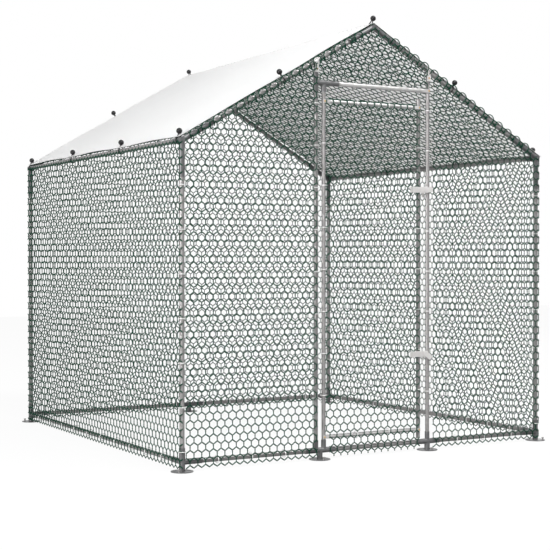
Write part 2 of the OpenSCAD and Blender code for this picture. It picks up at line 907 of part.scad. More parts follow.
module latch_pin(z) {
    color(pale_zinc) {
        at_pin(z, -tongue_off - latch_t)
            cylinder(d = pin_d, h = tab_off + 2 * latch_t + tongue_off + lie_gap);
        at_pin(z, tab_off + latch_t + lie_gap / 2) cylinder(d = pin_d + 3, h = screw_head_h);
        at_pin(z, -tongue_off - latch_t)
            linear_extrude(latch_t)
                union() {
                    circle(d = tongue_w);
                    translate([-tongue_w / 2, -tongue_reach]) square([tongue_w, tongue_reach]);
                }
    }
}

module post_front_left() { corner_post(-1, -1); }
module post_front_right() { corner_post(1, -1); }
module post_back_left() { corner_post(-1, 1); }
module post_back_right() { corner_post(1, 1); }
module base_rail_left() { base_rail_side(-1); }
module base_rail_right() { base_rail_side(1); }
module base_rails_back() {
    color(zinc) {
        tube_x(tube_stop - half_w, -tube_stop, half_d, base_z, tube_d);
        tube_x(tube_stop, half_w - tube_stop, half_d, base_z, tube_d);
    }
}
module base_rail_front_left() {
    color(zinc) tube_x(tube_stop - half_w, hinge_foot_x - tube_stop, -half_d, base_z, tube_d);
}
module base_rail_front_right() {
    color(zinc) tube_x(latch_post_x + tube_stop, half_w - tube_stop, -half_d, base_z, tube_d);
}
module base_rail_door() {
    color(zinc) tube_x(hinge_foot_x + tube_stop, latch_post_x - tube_stop, -half_d, base_z, tube_d);
}
module eave_rail_left() { eave_rail(-1); }
module eave_rail_right() { eave_rail(1); }
module ridge_rail() { color(zinc) tube_y(tube_stop - half_d, half_d - tube_stop, 0, ridge_z, tube_d); }
module rafter_front_left() { rafter(-1, -1); }
module rafter_front_right() { rafter(1, -1); }
module rafter_back_left() { rafter(-1, 1); }
module rafter_back_right() { rafter(1, 1); }
module foot_front_left() { corner_foot(-1, -1); }
module foot_front_right() { corner_foot(1, -1); }
module foot_back_left() { corner_foot(-1, 1); }
module foot_back_right() { corner_foot(1, 1); }
module eave_corner_front_left() { eave_corner(-1, -1); }
module eave_corner_front_right() { eave_corner(1, -1); }
module eave_corner_back_left() { eave_corner(-1, 1); }
module eave_corner_back_right() { eave_corner(1, 1); }
module apex_front() { apex(-1); }
module apex_back() { apex(1); }
module door_post_hinge() { door_post(hinge_post_x); }
module door_post_latch() { door_post(latch_post_x); }
module net_left() { side_net(-1); }
module net_right() { side_net(1); }
module net_front_left() { front_net(-1); }
module net_front_right() { front_net(1); }
module net_roof_left() { roof_net(-1); }
module net_roof_right() { roof_net(1); }
module door_rail_top() { door_rail(door_top_z); }
module door_rail_bottom() { door_rail(door_low_z); }
module upper_latch_tab() { latch_tab(upper_latch_z, upper_tab_angle); }
module upper_latch_pin() { latch_pin(upper_latch_z); }
module lower_latch_tab() { latch_tab(lower_latch_z, lower_tab_angle); }
module lower_latch_pin() { latch_pin(lower_latch_z); }

post_front_left();
post_front_right();
post_back_left();
post_back_right();
base_rail_left();
base_rail_right();
base_rails_back();
base_rail_front_left();
base_rail_front_right();
base_rail_door();
eave_rail_left();
eave_rail_right();
ridge_rail();
rafter_front_left();
rafter_front_right();
rafter_back_left();
rafter_back_right();
foot_front_left();
foot_front_right();
foot_back_left();
foot_back_right();
foot_back_middle();
foot_door_hinge();
foot_door_latch();
eave_corner_front_left();
eave_corner_front_right();
eave_corner_back_left();
eave_corner_back_right();
apex_front();
apex_back();
door_post_hinge();
door_post_latch();
rafter_clamps();
lintel_fitting();
lintel();
frame_screws();
ground_pegs();
net_left();
net_right();
net_back();
net_front_left();
net_front_right();
net_gable();
net_roof_left();
net_roof_right();
roof_cover();
bungee_balls();
bungee_loops();
door_stile_hinge();
door_stile_latch();
door_rail_top();
door_rail_bottom();
door_net();
door_screws();
latch_plates();
latch_rivets();
upper_latch_tab();
upper_latch_pin();
lower_latch_tab();
lower_latch_pin();
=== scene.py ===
import json
import math

import bpy
import numpy as np
from mathutils import Matrix, Vector

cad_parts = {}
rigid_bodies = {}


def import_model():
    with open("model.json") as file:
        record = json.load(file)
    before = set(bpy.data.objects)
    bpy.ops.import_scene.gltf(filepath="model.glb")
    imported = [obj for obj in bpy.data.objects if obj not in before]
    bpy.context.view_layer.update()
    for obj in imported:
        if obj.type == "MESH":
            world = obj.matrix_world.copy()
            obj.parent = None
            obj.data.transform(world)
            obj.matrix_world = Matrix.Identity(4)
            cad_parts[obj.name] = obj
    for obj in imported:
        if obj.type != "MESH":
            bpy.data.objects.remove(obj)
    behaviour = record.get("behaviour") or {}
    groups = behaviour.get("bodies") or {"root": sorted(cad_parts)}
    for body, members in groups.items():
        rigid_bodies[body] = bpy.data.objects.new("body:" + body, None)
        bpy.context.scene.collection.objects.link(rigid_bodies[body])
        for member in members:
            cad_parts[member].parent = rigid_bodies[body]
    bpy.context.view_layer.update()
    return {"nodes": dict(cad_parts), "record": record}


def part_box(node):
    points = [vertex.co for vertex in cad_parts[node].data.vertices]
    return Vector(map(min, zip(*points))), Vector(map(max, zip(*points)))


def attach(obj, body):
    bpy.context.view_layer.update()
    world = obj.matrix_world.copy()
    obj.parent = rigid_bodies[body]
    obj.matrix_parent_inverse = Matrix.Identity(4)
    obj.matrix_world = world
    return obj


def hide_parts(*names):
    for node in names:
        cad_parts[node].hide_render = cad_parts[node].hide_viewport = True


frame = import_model()
nodes = frame["nodes"]
print("frame loaded:", len(nodes), "nodes")


# Places and sizes, read off the frame

def middle(node):
    low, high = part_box(node)
    return (Vector(low) + Vector(high)) / 2


def thickness(node, axis):
    low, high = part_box(node)
    return high[axis] - low[axis]


halfWidth = -middle("post_front_left").x
halfDepth = -middle("post_front_left").y
eaveZ = middle("eave_rail_left").z
ridgeZ = middle("ridge_rail").z
baseZ = middle("base_rail_left").z
pitch = math.atan2(ridgeZ - eaveZ, halfWidth)
cosP = math.cos(pitch)
sinP = math.sin(pitch)
slopeLen = halfWidth / cosP
tubeR = thickness("post_front_left", 0) / 2
doorR = thickness("door_stile_hinge", 0) / 2
hubR = -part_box("apex_front")[0][1] - halfDepth
hingeX = middle("door_stile_hinge").x
latchX = middle("door_stile_latch").x
hingePostX = middle("door_post_hinge").x
latchPostX = middle("door_post_latch").x
lintelZ = middle("lintel").z
doorTopZ = middle("door_rail_top").z
doorLowZ = middle("door_rail_bottom").z


def rafterZ(x):
    return eaveZ + (halfWidth - abs(x)) * math.tan(pitch)


# Shader sums are written as plain expressions on sockets

class Socket:
    def __init__(self, tree, output):
        self.tree = tree
        self.output = output

    def calc(self, operation, other):
        return self.node("ShaderNodeMath", {"operation": operation}, {0: self, 1: other})

    def __add__(self, other):
        return self.calc("ADD", other)

    def __mul__(self, other):
        return self.calc("MULTIPLY", other)

    __radd__ = __add__

    def node(self, kind, settings, inputs, out=0):
        made = self.tree.nodes.new(kind)
        for key, value in settings.items():
            if key == "stops":
                for stop, (place, shade) in zip(made.color_ramp.elements, value):
                    stop.position = place
                    stop.color = shade
            else:
                setattr(made, key, value)
        for key, value in inputs.items():
            if isinstance(value, Socket):
                self.tree.links.new(value.output, made.inputs[key])
            else:
                made.inputs[key].default_value = value
        return Socket(self.tree, made.outputs[out])

    def noise(self, scale, detail):
        return self.node("ShaderNodeTexNoise", {}, {"Vector": self, "Scale": scale, "Detail": detail})

    def crystals(self, scale):
        return self.node("ShaderNodeTexVoronoi", {}, {"Vector": self, "Scale": scale}, "Color")

    def wave(self, direction, scale):
        bands = {"bands_direction": direction}
        return self.node("ShaderNodeTexWave", bands, {"Vector": self, "Scale": scale})

    def stretched(self, x, y, z):
        return self.node("ShaderNodeMapping", {}, {"Vector": self, "Scale": (x, y, z)})

    def ramp(self, low, high):
        grey = [(low, (0, 0, 0, 1)), (high, (1, 1, 1, 1))]
        return self.node("ShaderNodeValToRGB", {"stops": grey}, {"Fac": self})

    def between(self, first, second):
        shades = {0: self, 6: (*first, 1), 7: (*second, 1)}
        return self.node("ShaderNodeMix", {"data_type": "RGBA"}, shades, 2)

    def bump(self, strength, distance):
        return self.node("ShaderNodeBump", {}, {"Height": self, "Strength": strength, "Distance": distance})


def newMaterial(name, fixed, varied, source="Object"):
    material = bpy.data.materials.new(name)
    material.use_nodes = True
    tree = material.node_tree
    shader = tree.nodes["Principled BSDF"]
    place = Socket(tree, tree.nodes.new("ShaderNodeTexCoord").outputs[source])
    for key, value in fixed.items():
        shader.inputs[key].default_value = value
    for key, value in varied(place).items():
        tree.links.new(value.output, shader.inputs[key])
    return material


def spangledZinc(place, dark, pale):
    spangle = place.crystals(95)
    cloud = place.noise(9, 4)
    streak = place.stretched(1, 1, 0.05).noise(160, 2)
    shade = spangle * 0.45 + cloud * 0.4 + streak * 0.15
    return {
        "Base Color": shade.between(dark, pale),
        "Roughness": 0.14 + spangle * 0.07 + cloud * 0.06,
        "Normal": (spangle * 0.6 + streak * 0.4).bump(0.06, 0.0004),
    }


def galvanisedLook(place):
    return spangledZinc(place, (0.22, 0.214, 0.212), (0.40, 0.391, 0.388))


# Paler copy of the galvanised tubes' zinc for the lintel and the door's rails: painted light that stands in
# for their lit tops
def paintedLightTubeLook(place):
    return spangledZinc(place, (0.46, 0.45, 0.445), (0.70, 0.69, 0.685))


def fittingLook(place):
    spangle = place.crystals(70)
    cloud = place.noise(24, 5)
    pits = place.noise(700, 2).ramp(0.55, 0.72)
    shade = spangle * 0.35 + cloud * 0.65
    return {
        "Base Color": shade.between((0.055, 0.056, 0.058), (0.17, 0.17, 0.173)),
        "Roughness": 0.26 + cloud * 0.18,
        "Normal": (pits * 0.5 + cloud * 0.5).bump(0.12, 0.0006),
    }


def paleZincLook(place):
    cloud = place.noise(60, 4)
    brush = place.stretched(0.06, 1, 1).noise(900, 2)
    shade = cloud * 0.6 + brush * 0.4
    return {
        "Base Color": shade.between((0.60, 0.58, 0.57), (0.78, 0.765, 0.76)),
        "Roughness": 0.30 + brush * 0.18,
        "Normal": brush.bump(0.05, 0.0003),
    }


def yellowZincLook(place):
    cloud = place.noise(220, 4)
    return {
        "Base Color": cloud.between((0.42, 0.22, 0.06), (0.66, 0.44, 0.18)),
        "Roughness": 0.25 + cloud * 0.2,
        "Normal": cloud.bump(0.05, 0.0003),
    }


def coatedWireLook(place):
    cloud = place.noise(30, 3)
    grain = place.noise(1500, 2)
    return {
        "Base Color": cloud.between((0.001, 0.026, 0.013), (0.003, 0.062, 0.034)),
        "Roughness": 0.5 + grain * 0.2,
        "Normal": grain.bump(0.08, 0.0002),
    }


def wovenCloth(place, dark, pale, rough):
    threads = place.wave("X", 75) * 0.5 + place.wave("Y", 75) * 0.5
    cloud = place.noise(2.2, 4)
    shade = threads * 0.35 + cloud * 0.65
    return {
        "Base Color": shade.between(dark, pale),
        "Roughness": rough + threads * 0.16,
        "Normal": threads.bump(0.25, 0.0006),
    }


def coverTopLook(place):
    return wovenCloth(place, (0.88, 0.88, 0.88), (0.94, 0.94, 0.94), 0.52)


# A little darker copy of the cover's cloth for its underside: painted shade
def coverUnderShadeLook(place):
    return wovenCloth(place, (0.86, 0.86, 0.85), (0.93, 0.93, 0.92), 0.6)


def ballLook(place):
    cloud = place.noise(140, 3)
    return {
        "Base Color": cloud.between((0.006, 0.006, 0.007), (0.018, 0.018, 0.019)),
        "Roughness": 0.10 + cloud * 0.08,
        "Normal": cloud.bump(0.03, 0.0003),
    }


def elasticLook(place):
    braid = place.wave("DIAGONAL", 260)
    return {
        "Base Color": braid.between((0.006, 0.006, 0.006), (0.030, 0.030, 0.030)),
        "Roughness": 0.62 + braid * 0.2,
        "Normal": braid.bump(0.3, 0.0005),
    }


def tieLook(place):
    cloud = place.noise(300, 3)
    return {
        "Base Color": cloud.between((0.74, 0.74, 0.73), (0.90, 0.90, 0.89)),
        "Roughness": 0.35 + cloud * 0.15,
        "Normal": cloud.bump(0.04, 0.0002),
    }


metal = {"Metallic": 0.4}
zinc = {"Metallic": 0.3, "Specular IOR Level": 0.15, "Specular Tint": (0.3, 0.3, 0.3, 1)}
clothDepth = {"Subsurface Weight": 0.85, "Subsurface Radius": (1, 1, 1), "Subsurface Scale": 0.01}
looks = {
    "galvanised": newMaterial("galvanisedTube", zinc, galvanisedLook),
    "paintedLightTube": newMaterial("paintedLightTube", zinc, paintedLightTubeLook),
    "fitting_grey": newMaterial("zincFitting", {"Metallic": 0.15}, fittingLook),
    "pale_zinc": newMaterial("paleZinc", metal, paleZincLook),
    "yellow_zinc": newMaterial("yellowZinc", metal, yellowZincLook),
    "coated_wire": newMaterial("greenCoatedWire", {"Specular IOR Level": 0.1}, coatedWireLook),
    "cover_cloth": newMaterial("coverTop", clothDepth, coverTopLook, "UV"),
    "coverUnderShade": newMaterial("coverUnderShade", clothDepth, coverUnderShadeLook, "UV"),
    "ball_plastic": newMaterial("blackBall", {"Specular IOR Level": 0.25}, ballLook),
    "elastic": newMaterial("blackElastic", {"Specular IOR Level": 0.25}, elasticLook),
    "tie": newMaterial("paleTie", {"Metallic": 0.2}, tieLook),
}
# the lintel and the door's rails take the paler zinc copy, painted light for their lit tops
paintedLightTubes = ("lintel", "door_rail_top", "door_rail_bottom")
for row in frame["record"]["subparts"]:
    look = looks["paintedLightTube" if row["node"] in paintedLightTubes else row["material_slot"]]
    mesh = nodes[row["node"]].data
    mesh.materials.clear()
    mesh.materials.append(look)
print("materials made:", len(looks))


# Small helpers for modelling

smoothAngle = {"wire": 60, "sheet": 50, "ball": 50}


def clearSelection():
    if bpy.context.object and bpy.context.object.mode != "OBJECT":
        bpy.ops.object.mode_set(mode="OBJECT")
    bpy.ops.object.select_all(action="DESELECT")


def pick(piece):
    clearSelection()
    piece.select_set(True)
    bpy.context.view_layer.objects.active = piece


def applyAll(piece):
    pick(piece)
    for modifier in list(piece.modifiers):
        bpy.ops.object.modifier_apply(modifier=modifier.name)


def readPoints(piece):
    points = np.empty(len(piece.data.vertices) * 3)
    piece.data.vertices.foreach_get("co", points)
    return points.reshape(-1, 3)


def writePoints(piece, points):
    piece.data.vertices.foreach_set("co", np.ascontiguousarray(points).reshape(-1))
    piece.data.update()


def moved(points, place):
    spots = np.column_stack([points, np.ones(len(points))])
    return (spots @ np.array(place).T)[:, :3]


def finishPiece(piece, name, slot, body, kind, replaced=(), look=None):
    piece.name = name
    piece.data.name = name
    piece.data.materials.clear()
    piece.data.materials.append(looks[look or slot])
    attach(piece, body)
    if replaced:
        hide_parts(*replaced)
    pick(piece)
    bpy.ops.object.shade_smooth_by_angle(angle=math.radians(smoothAngle[kind]))


def linked(name, data):
    piece = bpy.data.objects.new(name, data)
    bpy.context.collection.objects.link(piece)
    return piece


# A fourth number in a path's spot is the part of the radius that the tube has there
def tubeAlong(paths, radius, sides):
    curve = bpy.data.curves.new("path", "CURVE")
    curve.dimensions = "3D"
    curve.bevel_depth = radius
    curve.bevel_resolution = sides // 2 - 2
    curve.use_fill_caps = True
    for path in paths:
        spline = curve.splines.new("POLY")
        spline.points.add(len(path) - 1)
        for point, spot in zip(spline.points, path):
            point.co = (*spot[:3], 1)
            point.radius = spot[3] if len(spot) > 3 else 1
    pick(linked("path", curve))
    bpy.ops.object.convert(target="MESH")
    return bpy.context.object


def scatter(source, places):
    points = readPoints(source)
    faces = [tuple(face.vertices) for face in source.data.polygons]
    allPoints = []
    allFaces = []
    for place in places:
        start = len(allPoints) * len(points)
        allPoints.append(moved(points, place))
        allFaces += [tuple(start + i for i in face) for face in faces]
    mesh = bpy.data.meshes.new("copies")
    mesh.from_pydata(np.concatenate(allPoints).tolist(), [], allFaces)
    bpy.data.objects.remove(source)
    return linked("copies", mesh)


def joinAll(pieces):
    clearSelection()
    for piece in pieces:
        piece.select_set(True)
    bpy.context.view_layer.objects.active = pieces[0]
    bpy.ops.object.join()


def axes(x, y, z, origin):
    turn = Matrix((x, y, z)).transposed().to_4x4()
    turn.translation = origin
    return turn


# Camera, at the photograph's viewing angle

camera = {
    "place": (-3.417, -6.074, 0.9275),
    "yaw": 29.606,
    "fall": 0.709,
    "lens": 84.315,
    "sensor": 36,
    "far": 100,
}


def makeCamera():
    data = bpy.data.cameras.new("camera")
    data.lens = camera["lens"]
    data.sensor_width = camera["sensor"]
    data.clip_end = camera["far"]
    piece = linked("camera", data)
    piece.location = camera["place"]
    piece.rotation_euler = (math.radians(90 - camera["fall"]), 0, -math.radians(camera["yaw"]))
    bpy.context.scene.camera = piece
    print("camera placed")


makeCamera()


# Netting: wires run up the panel and twist with the next wire at each cell's upright side

netting = {
    "cell": 0.038,
    "wire": 0.0027,         # radius
    "frontWire": 0.0029,    # radius in the front and the door
    "sides": 4,
    "twist": 0.69,          # part of the radius that each wire has in a twist
    "spread": 0.75,         # part of that radius between a twist's axis and its wires
    "squash": 0.6,          # how flat the twists lie
    "turnSteps": 3,
    "bend": 0.15,           # part of a slanting side in which the wire thins to its twist
    "spareRows": 2,         # made past the panel's edges and cut off
    "spareWires": 4,
    "capSides": 8,          # most sides that a cut end has
    "offset": 0.0162,       # from the tubes' axes to the middle of the net
    "doorOffset": 0.0124,
    "foot": 0.012,          # lower edge above the ground
    "stub": 0.003,          # length of twist left at the lower edge
    "eaveRise": 0.002,      # upper edge of the side walls above the eave rails' axes
    "postWrap": 75,         # degrees by which a net bends round the front posts,
    "rakeWrap": 25,         # over the rafters
    "doorWrap": 125,        # and over the door's top rail
    "latchPostGap": 0.022,  # from the latch post's axis to the front right net
    "lintelRise": 0.9,      # lower edge of the gable above the lintel's axis, in tube radii
    "hingeGap": 0.004,      # from the hinge stile's axis to the door's net
    "latchLap": 0.003,      # of the door's net past the latch stile's axis
    "skirtLean": 0.045,     # outwards, in radians
    "skirtGap": 0.024,      # clear of the hinge foot as the door opens
}
cellSide = netting["cell"] / math.sqrt(3)
rowStep = 1.5 * cellSide


def wirePath(hand, low, high, wire):
    thin = netting["twist"]
    reach = netting["spread"] * thin * wire
    half = netting["cell"] / 2
    steps = netting["turnSteps"]
    path = []
    for row in range(int((high - low) / rowStep) + netting["spareRows"]):
        odd = row % 2
        way = 1 - 2 * odd
        rise = low + row * rowStep
        for step in range(steps + 1):
            turn = 2 * math.pi * step / steps
            across = hand * (odd * half + way * reach * math.cos(turn))
            depth = hand * way * reach * netting["squash"] * math.sin(turn)
            path.append((across, rise + cellSide * step / steps, depth, thin))
        move = hand * way * (half - 2 * reach)
        for part in (netting["bend"], 1 - netting["bend"]):
            path.append((across + move * part, rise + cellSide + (rowStep - cellSide) * part, 0, 1))
    return path


def wireField(outline, start, wire):
    cell = netting["cell"]
    us = [u for u, v in outline]
    vs = [v for u, v in outline]
    low = min(vs) if start is None else start + netting["stub"] - cellSide
    low -= netting["spareRows"] * rowStep
    pair = [wirePath(hand, low, max(vs), wire) for hand in (1, -1)]
    piece = tubeAlong(pair, wire, netting["sides"])
    row = piece.modifiers.new("row", "ARRAY")
    row.use_relative_offset = False
    row.use_constant_offset = True
    row.constant_offset_displace = (cell, 0, 0)
    row.count = int((max(us) - min(us)) / cell) + netting["spareWires"]
    applyAll(piece)
    points = readPoints(piece)
    points[:, 0] += (math.floor(min(us) / cell) - 1) * cell
    writePoints(piece, points)
    return piece


def cutToOutline(piece, outline):
    pick(piece)
    bpy.ops.object.mode_set(mode="EDIT")
    for a, b in zip(outline, outline[1:] + outline[:1]):
        bpy.ops.mesh.select_all(action="SELECT")
        bpy.ops.mesh.bisect(plane_co=(*a, 0), plane_no=(b[1] - a[1], a[0] - b[0], 0), clear_outer=True)
    bpy.ops.mesh.select_all(action="SELECT")
    bpy.ops.mesh.fill_holes(sides=netting["capSides"])
    bpy.ops.object.mode_set(mode="OBJECT")


# Each wrap bends what lies past an edge round the tube whose axis is at that edge
def netPanel(name, node, body, outline, place, offset, wraps, start, wire):
    piece = wireField(outline, start, wire)
    cutToOutline(piece, outline)
    points = readPoints(piece)
    points[:, 2] += offset
    for axis, way, edge in wraps:
        past = (points[:, axis] - edge) * way
        over = past > 0
        turn = past[over] / offset
        reach = points[over, 2]
        points[over, axis] = edge + way * reach * np.sin(turn)
        points[over, 2] = reach * np.cos(turn)
    writePoints(piece, moved(points, place))
    finishPiece(piece, name, "coated_wire", body, "wire", [node])
    print(name, len(piece.data.polygons), "faces")


def bent(degrees, offset):
    return math.radians(degrees) * offset


def rectangle(left, right, low, high):
    return [(left, low), (right, low), (right, high), (left, high)]


def underRafters(left, right, low):
    peak = [(0, ridgeZ)] if left < 0 < right else []
    return [(left, low), (right, low), (right, rafterZ(right)), *peak, (left, rafterZ(left))]


frontWall = axes((1, 0, 0), (0, 0, 1), (0, -1, 0), (0, -halfDepth, 0))
backWall = axes((-1, 0, 0), (0, 0, 1), (0, 1, 0), (0, halfDepth, 0))
leftWall = axes((0, -1, 0), (0, 0, 1), (-1, 0, 0), (-halfWidth, 0, 0))
rightWall = axes((0, 1, 0), (0, 0, 1), (1, 0, 0), (halfWidth, 0, 0))
leftRoof = axes((0, -1, 0), (cosP, 0, sinP), (-sinP, 0, cosP), (-halfWidth, 0, eaveZ))
rightRoof = axes((0, 1, 0), (-cosP, 0, sinP), (sinP, 0, cosP), (halfWidth, 0, eaveZ))


def makeFrameNets():
    off = netting["offset"]
    foot = netting["foot"]
    wire = netting["wire"]
    split = netting["cell"] / 4            # the big panels are cut where slanting sides cross
    bothEnds = [(0, -1, -halfDepth), (0, 1, halfDepth)]
    eaveTop = eaveZ + netting["eaveRise"]
    corner = halfDepth + bent(netting["postWrap"], off)
    for name, node, wall, left, right in (
        ("nettingLeftBack", "net_left", leftWall, -halfDepth, split),
        ("nettingLeftFront", "net_left", leftWall, split, corner),
        ("nettingRightFront", "net_right", rightWall, -corner, split),
        ("nettingRightBack", "net_right", rightWall, split, halfDepth),
    ):
        panel = rectangle(left, right, foot, eaveTop)
        netPanel(name, node, "frame", panel, wall, off, bothEnds, foot, wire)

    for name, left, right in (
        ("nettingBackRight", -halfWidth, split),
        ("nettingBackLeft", split, halfWidth),
    ):
        panel = underRafters(left, right, foot)
        netPanel(name, "net_back", "frame", panel, backWall, off, [], foot, wire)

    latchSide = latchPostX + netting["latchPostGap"]
    gableEnd = latchPostX - doorR
    gableLow = lintelZ + netting["lintelRise"] * tubeR
    for name, node, left, right, low, start in (
        ("nettingFrontLeft", "net_front_left", -halfWidth + tubeR, hingePostX, foot, foot),
        ("nettingFrontRight", "net_front_right", latchSide, halfWidth, foot, foot),
        ("nettingGable", "net_gable", -gableEnd, gableEnd, gableLow, None),
    ):
        panel = underRafters(left, right, low)
        netPanel(name, node, "frame", panel, frontWall, off, [], start, netting["frontWire"])

    rake = halfDepth + bent(netting["rakeWrap"], off)
    top = slopeLen + off * math.tan(pitch)
    for name, node, slope, left, right in (
        ("nettingRoofLeftBack", "net_roof_left", leftRoof, -rake, split),
        ("nettingRoofLeftFront", "net_roof_left", leftRoof, split, rake),
        ("nettingRoofRightFront", "net_roof_right", rightRoof, -rake, split),
        ("nettingRoofRightBack", "net_roof_right", rightRoof, split, rake),
    ):
        panel = rectangle(left, right, 0, top)
        netPanel(name, node, "frame", panel, slope, off, bothEnds, None, wire)


def makeDoorNets():
    off = netting["doorOffset"]
    foot = netting["foot"]
    wire = netting["frontWire"]
    overRail = [(1, 1, doorTopZ)]
    start = doorTopZ + cellSide / 2 - netting["stub"]      # twists cross the top rail
    start -= math.ceil((start - foot) / rowStep / 2) * 2 * rowStep
    top = doorTopZ + bent(netting["doorWrap"], off)
    panel = rectangle(hingeX + netting["hingeGap"], latchX + netting["latchLap"], doorLowZ, top)
    netPanel("nettingDoor", "door_net", "door", panel, frontWall, off, overRail, start, wire)

    # below the door its net hangs on down, a little outwards, in front of the base rail
    hang = Matrix.Translation((0, doorLowZ, 0)) @ Matrix.Rotation(-netting["skirtLean"], 4, "X")
    skirt = frontWall @ hang @ Matrix.Translation((0, -doorLowZ, 0))
    panel = rectangle(hingeX + netting["skirtGap"], latchX, foot, doorLowZ)
    netPanel("nettingDoorSkirt", "door_net", "door", panel, skirt, off, [], start, wire)


makeFrameNets()
makeDoorNets()


# Bungees: where they hold the cover

bungee = {
    "cornerInset": 0.025,
    "leftRake": 0.490,      # from the ridge to the front balls and the back ones
    "rightRake": 0.460,
    "backRake": 0.470,
    "lean": 0.024,          # of the ridge balls, out past their loops
    "rise": 0.042,          # from the tube's axis to the ball's middle
    "ball": 0.0135,         # radius
    "ballSteps": 14,
    "spinSteps": 24,
    "seam": 0.0004,         # how far the seam stands out
    "seamHalf": 0.12,       # radians
    "mouth": 0.0042,        # radius of the hole for the cord
    "mouthFloor": 0.8,      # part of that radius
    "mouthDeep": 0.002,
    "cord": 0.0025,         # radius
    "cordSides": 10,
    "gap": 0.0006,          # between the tube and the cord
    "legs": 0.95,           # cord radii from the ball's axis to each leg
    "sink": 0.004,          # of the legs into the ball
    "loopStart": 125,       # degrees
    "loopTurn": 290,
    "loopSteps": 20,
}
cornerY = halfDepth - bungee["cornerInset"]
eaveBallYs = [-cornerY, -cornerY / 3, cornerY / 3, cornerY]


def upSlope(fromRidge):
    return (halfWidth - fromRidge) / cosP


# Roof frame, place across it and distance up it of the balls on the rafters
rakeSpots = [
    (leftRoof, halfDepth, upSlope(bungee["leftRake"])),
    (leftRoof, -halfDepth, upSlope(bungee["backRake"])),
    (rightRoof, -halfDepth, upSlope(bungee["rightRake"])),
    (rightRoof, halfDepth, upSlope(bungee["backRake"])),
]


def alongRun(spot):
    return axes((0, 1, 0), (-1, 0, 0), (0, 0, 1), spot)


# Each bungee: its tube's frame with Z up to the ball, the radius it holds and its lean
def bungeePlaces():
    places = []
    for x in (-halfWidth, halfWidth):
        for y in eaveBallYs:
            held = hubR if abs(y) == cornerY else tubeR
            places.append((alongRun((x, y, eaveZ)), held, 0))
    for slope, y, v in rakeSpots:
        up = slope.to_3x3().col[1]
        out = slope.to_3x3().col[2]
        places.append((axes(up, out.cross(up), out, slope @ Vector((y, v, 0))), tubeR, 0))
    for way in (-1, 1):
        places.append((alongRun((0, way * cornerY, ridgeZ)), hubR, way * bungee["lean"]))
    return places


# Raw edges of the roof nets, bent over the rafters

rawEdge = {
    "wire": 0.0024,
    "sides": 6,
    "out": 0.0166,          # from the rafter's axis, along the run
    "dip": 0.008,           # heights above the axis
    "crest": 0.0205,
    "backCrest": 0.013,
    "bump": 0.68,           # part of each pitch
    "steps": 10,
    "fullness": 0.7,        # power of the bumps' sine
    "endGap": 0.03,         # left free at both ends of a rafter
    "under": ((0.0175, 0), (0.0145, -0.009), (0.008, -0.0155), (0, -0.0172)),  # out and up from the axis
}


def rawEdgePaths(slope, side, centre):
    pitchLen = 3 * cellSide
    wide = rawEdge["bump"] * pitchLen
    gap = rawEdge["endGap"]
    dip = rawEdge["dip"]
    steps = rawEdge["steps"]
    out = side * (halfDepth + rawEdge["out"])
    crest = rawEdge["crest"] if (slope @ Vector((out, 0, 0))).y < 0 else rawEdge["backCrest"]
    first = centre - wide / 2 - math.floor((centre - wide / 2 - gap) / pitchLen) * pitchLen
    count = int((slopeLen - gap - first) / pitchLen)
    bend = ((rawEdge["out"], dip), *rawEdge["under"])
    edge = []
    crossings = []
    for i in range(count):
        v = first + i * pitchLen
        for step in range(steps + 1):
            rise = math.sin(math.pi * step / steps) ** rawEdge["fullness"]
            edge.append((out, v + wide * step / steps, dip + (crest - dip) * rise))
        for along in (v, v + wide):
            crossings.append([(side * (halfDepth + u), along, w) for u, w in bend])
    return [[slope @ Vector(spot) for spot in path] for path in [edge] + crossings]


def makeRawEdges():
    for name, node, slope in (
        ("rawEdgesLeft", "net_roof_left", leftRoof),
        ("rawEdgesRight", "net_roof_right", rightRoof),
    ):
        paths = []
        for roof, y, v in rakeSpots:
            if roof is slope:
                paths += rawEdgePaths(slope, math.copysign(1, y), v)
        piece = tubeAlong(paths, rawEdge["wire"], rawEdge["sides"])
        finishPiece(piece, name, "coated_wire", "frame", "wire", [node])
        print(name, len(piece.data.polygons), "faces")


makeRawEdges()


# Cover: one stretched sheet with a hem

cover = {
    "offset": 0.0199,       # from the tubes' axes to the sheet's middle
    "leftLap": 0.002,       # past the eave rails' axes, down the slopes
    "rightLap": 0.024,
    "rakeLap": 0.002,       # past the rafters' axes
    "thick": 0.0009,
    "stepsAcross": 112,
    "stepsAlong": 96,
    "bow": 0.006,           # how far the edges draw in between the bungees
    "lift": 0.002,          # how far they rise there
    "edgePower": 24,        # keeps both near the edges
    "rakeMark": 0.46,       # part of the slope from the ridge to the bungees on the rafters
    "ripple": 0.0006,
    "waves": ((9, 4), (-5, 14)),   # along the run and down the slope
    "sag": 0.0003,          # most that the sheet lies below its offset
    "underZ": -0.3,         # faces whose normals point lower get the underside's a little darker cloth, painted shade
    "hemThick": 0.0008,
}


def drawIn(spot, marks):
    pull = np.zeros_like(spot)
    for a, b in zip(marks, marks[1:]):
        inside = (spot >= a) & (spot <= b)
        pull[inside] = np.sin(np.pi * (spot[inside] - a) / (b - a)) ** 2
    return pull


